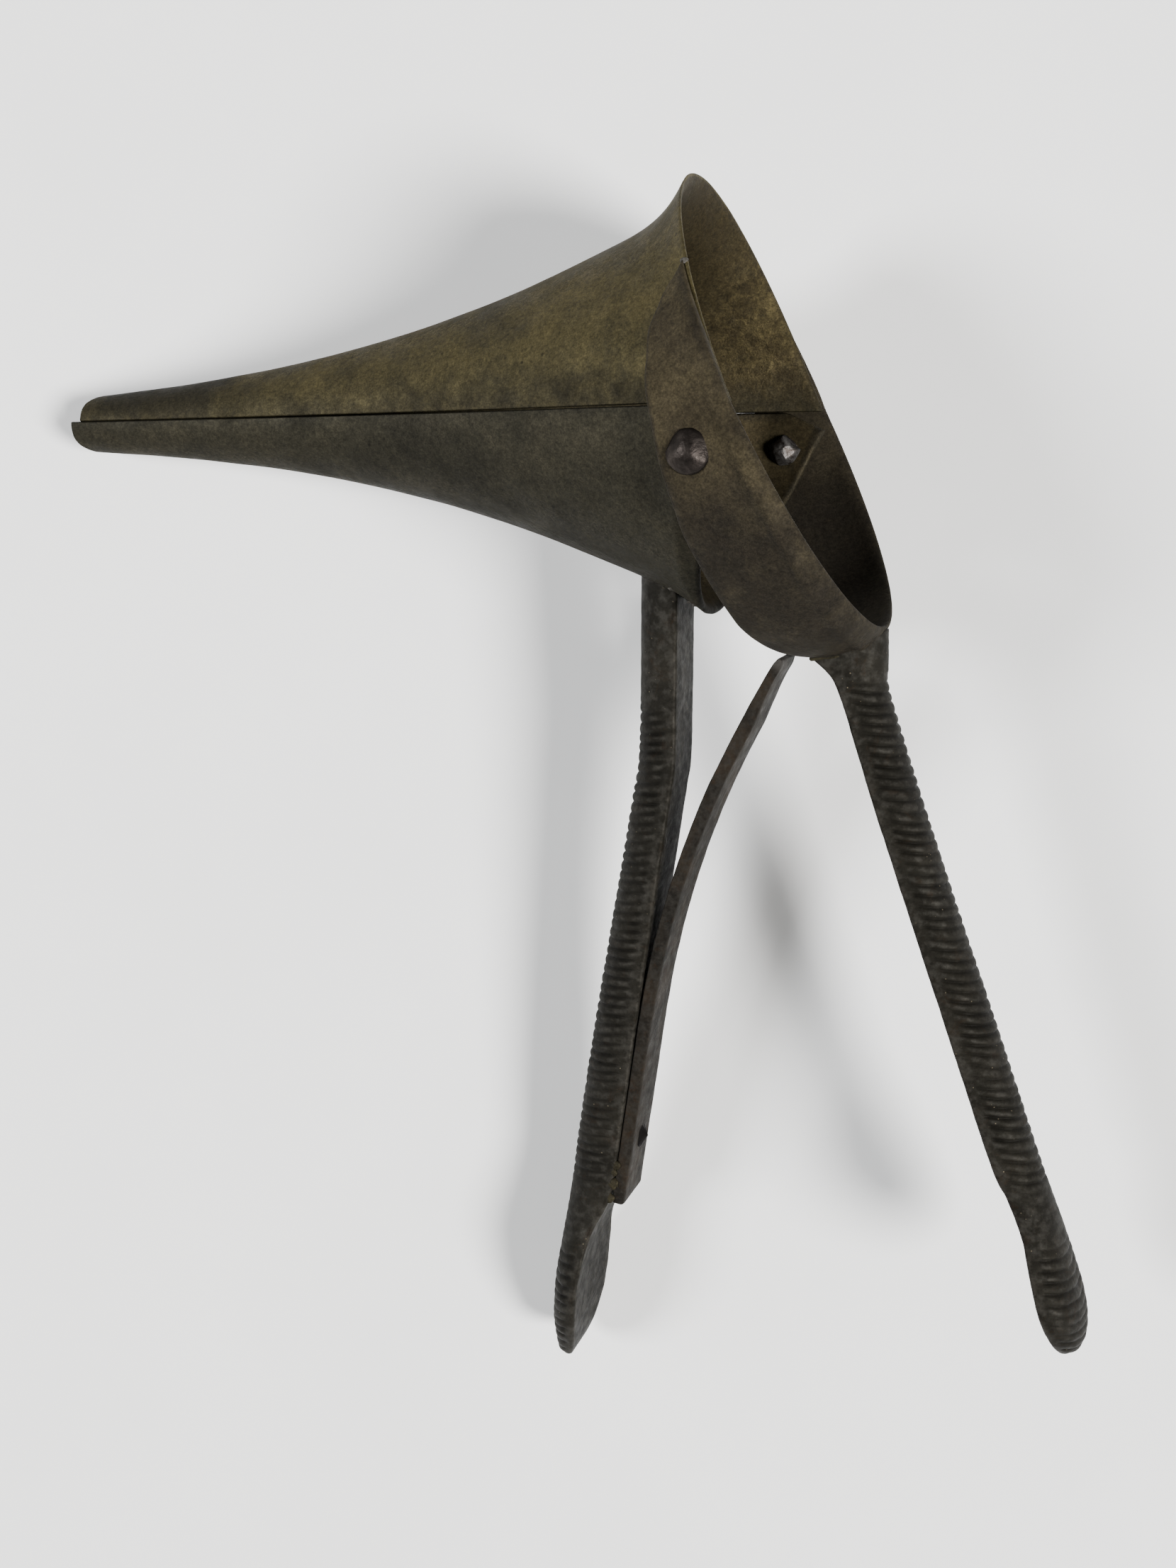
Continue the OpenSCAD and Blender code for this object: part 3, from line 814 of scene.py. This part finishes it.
def make_spring_rivet(material):
    """Low peened head on the spring's face, standing in a small crushed ring."""
    low, above = np.array(SPRING_LINE[-1]), np.array(SPRING_LINE[-2])
    rise = (above - low) / np.linalg.norm(above - low)
    at = low + rise * SPRING_RIVET_UP
    out = np.array([rise[1], 0, -rise[0]])
    up = np.array([rise[0], 0, rise[1]])
    centre = np.array([at[0], 0, at[1]]) + out * SPRING_EXTRA
    rng = np.random.default_rng(41)
    face, head_r, head_h = SPRING_T / 2, SPRING_RIVET_HEAD_R, SPRING_RIVET_HEAD_H
    profile = [(-5.0 - SPRING_EXTRA, 0.85), (face - 0.1, 0.9), (face - 0.05, 1.25), (face + 0.1, head_r)]
    profile += [(face + 0.1 + head_h * math.sin(a), head_r * math.cos(a))
                for a in np.radians(np.linspace(8, 86, 14))]
    a = np.arange(48) * 2 * math.pi / 48
    side = np.array([0, 1, 0])
    rings = np.stack([centre + out * y + r * (np.cos(a)[:, None] * side + np.sin(a)[:, None] * up)
                      for y, r in profile])
    foot = centre + out * SPRING_T / 2
    planes = hammer_planes(rng, foot, (out, side, up), 6, 0.4, (10, 45), (0.612, 0.756))
    rings[2:] = hammered(rings[2:], planes, seed=42, soft=0.03)
    points, faces = closed_bar(rings)
    obj = make_piece("spring_rivet_head", points, faces, material, {"edge": np.zeros(len(points))})
    return finish_piece(obj, "lower_jaw", "spring_rivet")


# ---- solder
def blob(centre, size, flatten, seed):
    """Points and faces of one small lump of solder; flatten is the direction that it is squeezed along."""
    rows, sides = 8, 14
    tilt = np.linspace(0.02, math.pi - 0.02, rows)
    turn = np.arange(sides) * 2 * math.pi / sides
    ball = np.stack([np.sin(tilt)[:, None] * np.cos(turn), np.sin(tilt)[:, None] * np.sin(turn),
                     np.cos(tilt)[:, None] * np.ones(sides)], -1) * size
    ball -= 0.55 * (ball @ flatten)[..., None] * flatten
    ball *= (1 + 0.4 * field(ball + centre, 1.1 / size, seed, 2))[..., None]
    return closed_bar(ball + centre)


def make_blobs(name, spots, body, material):
    points, faces = [], []
    for k, (centre, size, normal) in enumerate(spots):
        p, f = blob(np.array(centre, float), size, np.array(normal, float), 60 + k)
        shift = sum(len(q) for q in points)
        points.append(p)
        faces += [[i + shift for i in face] for face in f]
    points = np.concatenate(points)
    obj = make_piece(name, points, faces, material, sheet_masks(len(points)))
    return finish_piece(obj, body)


def lower_rim_specks():
    """Rough specks of solder under the rear edge of the lower valve, beside the front handle's root."""
    rng = np.random.default_rng(7)
    spots = []
    for k in range(9):
        angle = rng.uniform(-86, -58)
        x = lower_edge_x(angle) - rng.uniform(0.5, 3.4)
        side = -1 if k % 3 else 1
        at = around(x, lower_r(x, angle), angle, side)
        spots.append((at, rng.uniform(0.22, 0.42), [0, side * cos_d(angle), sin_d(angle)]))
    return spots


def leaf_tip_specks():
    """A speck of solder at the tip of the strap's near leaf-shaped end."""
    angle = STRAP_END - 0.5
    x = at_key(STRAP_FRONT, angle) + 0.2
    at = around(x, upper_r(x, angle) + 0.08, angle, -1)
    return [(at, 0.34, [0, -cos_d(angle), sin_d(angle)])]


def spring_seat_specks():
    """Rough lumps of solder that hold the spring's lower end to the handle, along both sides."""
    rng = np.random.default_rng(17)
    spots = []
    for k in range(14):
        z = rng.uniform(-81.5, -72.5)
        x = np.interp(-z, [-s[0] for s in FRONT_STATIONS], [s[1] for s in FRONT_STATIONS])
        side = -1 if k % 2 else 1
        at = [x + rng.uniform(-0.1, 0.2), side * (SPRING_W / 2 + 0.05), z]
        spots.append((at, rng.uniform(0.35, 0.6), [0, side, 0]))
    return spots


# ---- materials
class Paint:
    """One procedural material. Patterns are laid out in the object's own coordinates, in millimetres."""

    def __init__(self, name):
        self.material = bpy.data.materials.new(name)
        self.material.use_nodes = True
        self.tree = self.material.node_tree
        self.tree.nodes.clear()
        self.shader = self.add("ShaderNodeBsdfPrincipled")
        out = self.add("ShaderNodeOutputMaterial", {"Surface": self.shader.outputs["BSDF"]})
        out.is_active_output = True
        where = self.add("ShaderNodeTexCoord").outputs["Object"]
        self.mm = self.scaled(where, (1 / MM,) * 3)

    def add(self, kind, values=None, **settings):
        node = self.tree.nodes.new(kind)
        for key, value in settings.items():
            setattr(node, key, value)
        for key, value in (values or {}).items():
            if isinstance(value, bpy.types.NodeSocket):
                self.tree.links.new(value, node.inputs[key])
            else:
                node.inputs[key].default_value = value
        return node

    def scaled(self, vector, scale, turn=(0, 0, 0)):
        values = {"Vector": vector, "Scale": scale, "Rotation": turn}
        return self.add("ShaderNodeMapping", values).outputs["Vector"]

    def noise(self, scale, detail=5.0, rough=0.6, distortion=0.0, vector=None):
        values = {"Vector": vector or self.mm, "Scale": scale, "Detail": detail, "Roughness": rough,
                  "Distortion": distortion}
        return self.add("ShaderNodeTexNoise", values).outputs["Fac"]

    def cells(self, scale):
        return self.add("ShaderNodeTexVoronoi", {"Vector": self.mm, "Scale": scale}).outputs["Distance"]

    def mask(self, name):
        return self.add("ShaderNodeAttribute", attribute_name=name).outputs["Fac"]

    def span(self, value, low, high, to_low=0.0, to_high=1.0):
        values = {"Value": value, "From Min": low, "From Max": high, "To Min": to_low, "To Max": to_high}
        return self.add("ShaderNodeMapRange", values, clamp=True).outputs["Result"]

    def product(self, a, b):
        return self.add("ShaderNodeMath", {0: a, 1: b}, operation="MULTIPLY").outputs[0]

    def total(self, a, b):
        return self.add("ShaderNodeMath", {0: a, 1: b}, operation="ADD").outputs[0]

    def ramp(self, value, stops):
        node = self.add("ShaderNodeValToRGB", {"Fac": value})
        elements = node.color_ramp.elements
        while len(elements) < len(stops):
            elements.new(0.5)
        for element, (position, colour) in zip(elements, stops):
            element.position = position
            element.color = (*colour, 1)
        return node.outputs["Color"]

    def mix(self, share, a, b, blend="MIX"):
        a, b = (c if isinstance(c, bpy.types.NodeSocket) else (*c, 1) for c in (a, b))
        node = self.add("ShaderNodeMix", {0: share, 6: a, 7: b}, data_type="RGBA", blend_type=blend)
        return node.outputs[2]

    def mottle(self, colour, share, pattern, low=(0.3, 0.5), high=(0.7, 1.2)):
        """Varies a colour by a pattern; low and high each pair a value of it with a brightness."""
        greys = [(value, (grey,) * 3) for value, grey in (low, high)]
        return self.mix(share, colour, self.ramp(pattern, greys), "MULTIPLY")

    def bump(self, height, distance, strength, after=None):
        values = {"Height": height, "Distance": distance, "Strength": strength}
        if after:
            values["Normal"] = after
        return self.add("ShaderNodeBump", values).outputs["Normal"]

    def finish(self, colour, roughness, normal, metallic, gloss):
        for key, value in (("Base Color", colour), ("Roughness", roughness), ("Normal", normal)):
            self.tree.links.new(value, self.shader.inputs[key])
        self.shader.inputs["Metallic"].default_value = metallic
        self.shader.inputs["Specular IOR Level"].default_value = gloss
        self.shader.inputs["Specular Tint"].default_value = (gloss, gloss, gloss, 1)
        return self.material


def times(colour, factor):
    return tuple(factor * c for c in colour)


def sheet_metal(name, dark, middle, light, worn=None, inner=None, metallic=0.6, shine=0.56):
    """Old rolled brass: clouds of patina, grit, fine pits and scratches, and darker, partly as painted shade,
    where the points' darkening mask says.
    """
    p = Paint(name)
    clouds = p.noise(0.13, 7, 0.66, 0.4)
    grain = p.noise(2.1, 5, 0.7)
    grit = p.noise(5.5, 3, 0.6)
    colour = p.ramp(clouds, ((0.3, dark), (0.5, middle), (0.72, light)))
    # The inner side's colour is painted light and shade: the lower valve's is lighter, as its far wall is
    # lit, and the upper valve's darker, for the shade inside the funnel.
    colour = p.mix(p.product(p.mask("inside"), 0.8), colour, inner or dark)
    # The darkening mask carries painted shade along with darker patina.
    dull = p.total(p.mask("dull"), p.span(p.noise(0.3, 6, 0.65, 0.4), 0.3, 0.7, -0.35, 0.25))
    dull = p.span(dull, 0.1, 0.9, 0.0, 0.9)
    shade_and_darkening_colour = tuple(0.5 * c + 0.003 for c in dark)
    colour = p.mix(dull, colour, shade_and_darkening_colour)
    blotch = p.span(p.noise(0.42, 6, 0.65, 0.8), 0.52, 0.66, 0.0, 0.35)
    colour = p.mix(blotch, colour, dark)
    speck = p.span(p.cells(0.9), 0.1, 0.2, 1.0, 0.0)
    speck = p.product(speck, p.span(p.noise(0.22, 3), 0.5, 0.62))
    colour = p.mix(p.product(speck, 0.6), colour, times(dark, 0.35))
    bright = p.product(p.mask("patch"), p.span(p.noise(0.7, 8, 0.78, 0.5), 0.44, 0.62))
    colour = p.mix(bright, colour, worn or light)
    edge = p.product(p.mask("edge"), p.span(p.noise(0.9, 4, 0.6), 0.4, 0.66, 0.0, 0.22))
    colour = p.mix(edge, colour, light)
    colour = p.mottle(colour, 0.75, grain, (0.3, 0.45), (0.7, 1.4))
    colour = p.mottle(colour, 0.55, grit, (0.32, 0.45), (0.68, 1.5))
    scratch = p.noise(1.6, 3, 0.5, 0.0, p.scaled(p.mm, (0.35, 3.6, 2.2), (0.3, 0.5, 0.9)))
    uneven = p.total(p.noise(0.3, 5), p.product(scratch, 0.5))
    rough = p.span(uneven, 0.45, 1.0, shine - 0.06, shine + 0.2)
    pitted = p.product(p.mask("patch"), p.noise(1.1, 5, 0.7))
    normal = p.bump(pitted, 0.35 * MM, 0.8)
    normal = p.bump(p.noise(0.25, 3), 0.5 * MM, 0.25, normal)
    normal = p.bump(scratch, 0.02 * MM, 0.3, normal)
    normal = p.bump(speck, 0.06 * MM, -0.5, normal)
    normal = p.bump(grain, 0.05 * MM, 0.5, normal)
    normal = p.bump(grit, 0.025 * MM, 0.5, normal)
    return p.finish(colour, rough, normal, metallic, 0.3)


def handle_metal(name):
    """Near-black metal: dirt and painted shade in the grooves, a matt polish and painted glints on the ribs,
    painted shade on the flat face, rust and pale specks.
    """
    p = Paint(name)
    clouds = p.noise(0.16, 6, 0.6, 0.4)
    grain = p.noise(3.0, 5, 0.65)
    dark, middle, light = (0.0085, 0.0078, 0.0062), (0.011, 0.0101, 0.008), (0.0145, 0.013, 0.01)
    brown_rust, face_shade_colour, groove_dirt_and_shade = (0.02, 0.0115, 0.006), (0.0035, 0.0033, 0.0028), (0.0025, 0.0023, 0.0018)
    rib_polish_and_glint, worn_corner, pale_grit = (0.033, 0.031, 0.027), (0.035, 0.032, 0.027), (0.16, 0.135, 0.09)
    colour = p.ramp(clouds, ((0.3, dark), (0.5, middle), (0.72, light)))
    rust = p.span(p.noise(0.42, 6, 0.7, 1.0), 0.56, 0.68)
    colour = p.mix(p.product(rust, 0.35), colour, brown_rust)
    # Painted shade: the flat face is made darker.
    colour = p.mix(p.product(p.mask("face"), 0.75), colour, face_shade_colour)
    # The grooves are darkened with dirt and with painted shade.
    groove = p.mask("groove")
    colour = p.mix(p.span(groove, 0.2, 0.9, 0.0, 0.7), colour, groove_dirt_and_shade)
    # The rib crowns are lightened with polish and a painted glint.
    top = p.product(p.span(groove, 0.0, 0.3, 1.0, 0.0), p.span(p.noise(0.9, 4, 0.6), 0.45, 0.65))
    colour = p.mix(p.product(top, 0.6), colour, rib_polish_and_glint)
    edge = p.product(p.mask("edge"), p.span(p.noise(1.1, 4), 0.45, 0.6))
    colour = p.mix(p.product(edge, 0.5), colour, worn_corner)
    speck = p.product(p.span(p.cells(1.5), 0.06, 0.13, 1.0, 0.0), p.span(p.noise(0.5, 3), 0.55, 0.6))
    colour = p.mix(p.product(speck, 0.6), colour, pale_grit)
    colour = p.mottle(colour, 0.5, grain)
    rough = p.span(p.noise(0.8, 5), 0.3, 0.7, 0.48, 0.7)
    normal = p.bump(p.noise(1.3, 5, 0.65), 0.08 * MM, 0.5)
    normal = p.bump(grain, 0.04 * MM, 0.6, normal)
    return p.finish(colour, rough, normal, 0.3, 0.16)


def spring_metal(name):
    """Spring steel under thin rust, scored along its length, ground bright at its upper end."""
    p = Paint(name)
    clouds = p.noise(0.2, 6, 0.62, 0.6)
    dark, middle, light = (0.0068, 0.0062, 0.0052), (0.0118, 0.0102, 0.0082), (0.019, 0.0148, 0.0106)
    brown_rust, bare_side, ground_tip = (0.024, 0.0135, 0.007), (0.026, 0.024, 0.021), (0.045, 0.042, 0.038)
    colour = p.ramp(clouds, ((0.34, dark), (0.5, middle), (0.66, light)))
    rust = p.span(p.noise(0.9, 6, 0.72, 0.7), 0.54, 0.68)
    colour = p.mix(p.product(rust, 0.5), colour, brown_rust)
    side = p.product(p.mask("edge"), p.span(p.noise(1.4, 5, 0.7), 0.42, 0.6))
    colour = p.mix(p.product(side, 0.5), colour, bare_side)
    colour = p.mix(p.product(p.mask("tip"), 0.7), colour, ground_tip)
    grain = p.noise(3.2, 5, 0.65)
    colour = p.mottle(colour, 0.5, grain)
    score = p.noise(2.2, 3, 0.5, 0.0, p.scaled(p.mm, (2.4, 0.16, 1.0)))
    rough = p.span(p.noise(0.7, 5), 0.3, 0.7, 0.5, 0.75)
    normal = p.bump(p.noise(0.8, 5, 0.65), 0.14 * MM, 0.5)
    normal = p.bump(score, 0.03 * MM, 0.5, normal)
    normal = p.bump(grain, 0.04 * MM, 0.6, normal)
    return p.finish(colour, rough, normal, 0.25, 0.16)


def rivet_metal(name, tone=1.0):
    """Dark hammered metal with a faint purple cast, burnished where the hammer struck."""
    p = Paint(name)
    clouds = p.noise(0.5, 6, 0.62, 0.5)
    dark, middle, light = (0.0145, 0.012, 0.0105), (0.026, 0.0215, 0.019), (0.047, 0.039, 0.034)
    burnished = (0.13, 0.125, 0.12)
    stops = ((0.34, dark), (0.52, middle), (0.7, light))
    colour = p.ramp(clouds, [(at, times(shade, tone)) for at, shade in stops])
    bright = p.product(p.mask("edge"), p.span(p.noise(1.1, 5, 0.7, 0.5), 0.4, 0.6))
    colour = p.mix(p.product(bright, 0.8), colour, burnished)
    grain = p.noise(3.4, 5, 0.65)
    colour = p.mottle(colour, 0.5, grain)
    rough = p.span(p.noise(0.9, 5), 0.3, 0.7, 0.36, 0.56)
    normal = p.bump(p.noise(0.8, 4, 0.6), 0.22 * MM, 0.5)
    normal = p.bump(grain, 0.03 * MM, 0.5, normal)
    return p.finish(colour, rough, normal, 0.8, 0.4)


def floor_paint(name):
    """Plain pale painted surface, with a very faint mottle."""
    p = Paint(name)
    colour = p.ramp(p.noise(0.03, 4), ((0.35, (0.86, 0.86, 0.855)), (0.65, (0.89, 0.89, 0.885))))
    rough = p.span(p.noise(0.2, 4), 0.3, 0.7, 0.5, 0.62)
    normal = p.bump(p.noise(0.9, 4), 0.05 * MM, 0.25)
    return p.finish(colour, rough, normal, 0.0, 0.3)


# ---- camera, floor and light
CAMERA_TURN = math.radians(18.7)
CAMERA_RISE = math.radians(11.05)
CAMERA_LENS = 39.06
# Where the hinge's centre is as the camera sees it: right, up and towards the camera, in millimetres.
HINGE_IN_VIEW = np.array([16.44, 33.6, -171.9])


def make_camera():
    c, s = math.cos(CAMERA_TURN), math.sin(CAMERA_TURN)
    back = np.array([s * math.cos(CAMERA_RISE), -c * math.cos(CAMERA_RISE), math.sin(CAMERA_RISE)])
    right = np.array([c, s, 0])
    up = np.cross(back, right)
    axes = np.stack([right, up, back])
    data = bpy.data.cameras.new("camera")
    data.lens = CAMERA_LENS
    data.clip_start = 0.005
    camera = bpy.data.objects.new("camera", data)
    matrix = Matrix([[*row, 0] for row in (LAY @ axes.T).tolist()] + [[0, 0, 0, 1]])
    matrix.translation = place(-axes.T @ HINGE_IN_VIEW)
    camera.matrix_world = matrix
    bpy.context.scene.collection.objects.link(camera)
    bpy.context.scene.camera = camera


def make_floor(material):
    z = cad_box[0][2]
    corners = [(x * FLOOR_HALF, y * FLOOR_HALF, z) for x, y in ((-1, -1), (1, -1), (1, 1), (-1, 1))]
    mesh = bpy.data.meshes.new("floor")
    mesh.from_pydata(corners, [], [(0, 1, 2, 3)])
    mesh.materials.append(material)
    floor = bpy.data.objects.new("floor", mesh)
    bpy.context.scene.collection.objects.link(floor)


def make_light(name, direction, strength, colour):
    """A far, wide lamp, so that the floor is lit evenly and every shadow has a soft edge."""
    data = bpy.data.lights.new(name, "SUN")
    data.energy = strength
    data.angle = LAMP_SPREAD
    data.color = colour
    light = bpy.data.objects.new(name, data)
    light.rotation_mode = "QUATERNION"
    light.rotation_quaternion = Vector(direction).to_track_quat("Z", "Y")
    bpy.context.scene.collection.objects.link(light)


def make_world():
    """A dim ceiling over a pale horizon."""
    world = bpy.data.worlds.new("studio")
    world.use_nodes = True
    nodes, links = world.node_tree.nodes, world.node_tree.links
    where = nodes.new("ShaderNodeTexCoord")
    height = nodes.new("ShaderNodeSeparateXYZ")
    links.new(where.outputs["Generated"], height.inputs[0])
    ramp = nodes.new("ShaderNodeValToRGB")
    links.new(height.outputs["Z"], ramp.inputs["Fac"])
    for element, grey in zip(ramp.color_ramp.elements, (HORIZON, CEILING)):
        element.color = (grey, grey, grey, 1)
    ramp.color_ramp.elements[1].position = CEILING_FROM
    links.new(ramp.outputs["Color"], nodes["Background"].inputs["Color"])
    bpy.context.scene.world = world


def make_lights():
    make_world()
    make_light("right_light", (0.8, -0.26, 0.9), 7.8, (1.0, 0.99, 0.97))
    make_light("left_light", (-1.0, 0.0, 0.9), 4.4, (0.98, 0.99, 1.0))


# ---- build
# The colours are the patina's dark, middle and light parts, the worn patch and the sheet's inner side, whose
# colour is painted light and shade.
upper_brass = sheet_metal("aged_brass_upper", dark=(0.028, 0.0245, 0.014), middle=(0.051, 0.043, 0.0205),
                          light=(0.071, 0.0585, 0.0265), worn=(0.06, 0.048, 0.022),
                          inner=(0.018, 0.0135, 0.0068))
lower_brass = sheet_metal("aged_brass_lower", dark=(0.0165, 0.0152, 0.0106), middle=(0.0242, 0.0222, 0.015),
                          light=(0.036, 0.032, 0.021), inner=(0.036, 0.028, 0.014))
strap_bronze = sheet_metal("bronze_strap", dark=(0.02, 0.016, 0.0102), middle=(0.035, 0.0285, 0.0165),
                           light=(0.058, 0.0475, 0.026), inner=(0.02, 0.017, 0.011),
                           metallic=0.4, shine=0.72)
braze = sheet_metal("brass_braze", dark=(0.012, 0.0105, 0.007), middle=(0.02, 0.0175, 0.0105),
                    light=(0.033, 0.028, 0.016), metallic=0.5, shine=0.6)
solder = sheet_metal("grey_solder", dark=(0.03, 0.027, 0.023), middle=(0.055, 0.051, 0.044),
                     light=(0.1, 0.094, 0.084), metallic=0.4, shine=0.6)
handle_iron = handle_metal("handle_iron")
rivet_steel = rivet_metal("rivet_steel")
pitted_steel = rivet_metal("pitted_steel", 0.3)
spring_steel = spring_metal("spring_steel")

make_upper_valve(upper_brass)
make_lower_valve(lower_brass)
make_yoke(strap_bronze)
make_front_handle(handle_iron)
make_rear_handle(handle_iron)
make_pivot_rivet(-1, "near_rivet", "near_pivot_rivet", 21, rivet_steel)
make_pivot_rivet(1, "far_rivet", "far_pivot_rivet", 22, rivet_steel)
make_spring(spring_steel)
make_spring_rivet(pitted_steel)
make_root_braze("rear_root_braze", REAR_ROOT, 1, strap_bottom_r, "upper_jaw",
                51, braze)
make_root_braze("front_root_braze", FRONT_STATIONS[0], -1, lower_bottom_r, "lower_jaw",
                52, lower_brass)
make_blobs("lower_rim_solder", lower_rim_specks(), "lower_jaw", solder)
make_blobs("spring_seat_solder", spring_seat_specks(), "lower_jaw", braze)
make_blobs("leaf_tip_solder", leaf_tip_specks(), "upper_jaw", solder)

make_camera()
make_floor(floor_paint("floor_paint"))
make_lights()
